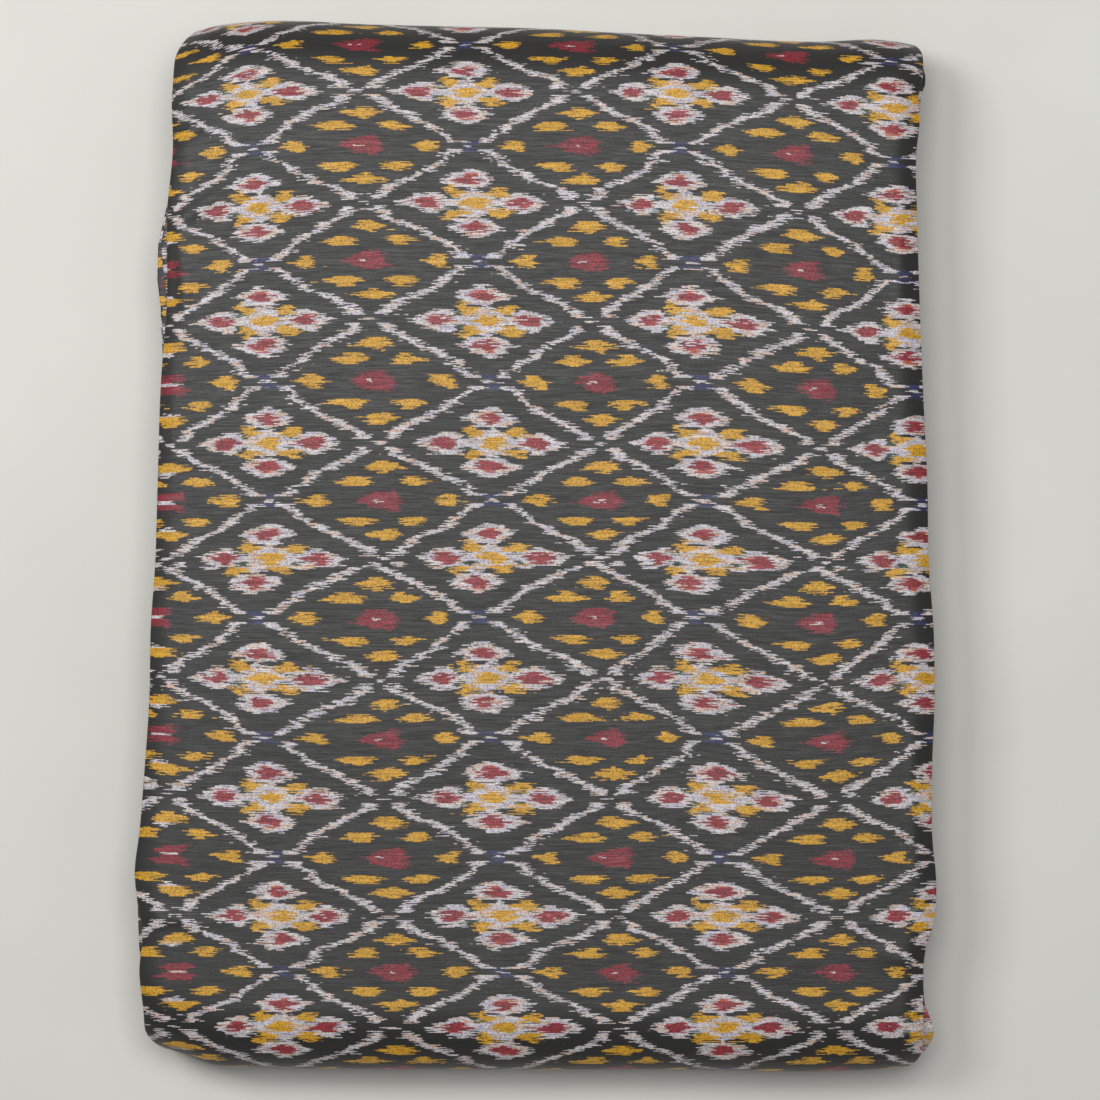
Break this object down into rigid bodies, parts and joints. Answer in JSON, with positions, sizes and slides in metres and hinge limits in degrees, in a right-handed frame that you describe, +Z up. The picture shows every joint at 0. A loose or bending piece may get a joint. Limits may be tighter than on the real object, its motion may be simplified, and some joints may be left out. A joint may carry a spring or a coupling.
{
  "type": "ikat fabric",
  "caption": "Length of black weft ikat cloth, folded across its width and wound flat into a soft rectangular bolt that lies on a surface.",
  "frame": {"origin": "middle of the bolt's outline, at the height of its flat underside", "axes": "+Z up, +Y along the bolt towards the far end in the picture, +X across the strip to the picture's right"},
  "size_m": [0.292, 0.382, 0.0378],
  "materials": {
    "cloth": "black handloom cotton with a golden, red and white weft ikat pattern, matt with a slight sheen"
  },
  "bodies": {
    "root": {"ikat_cloth": "cloth"}
  },
  "joints": []
}
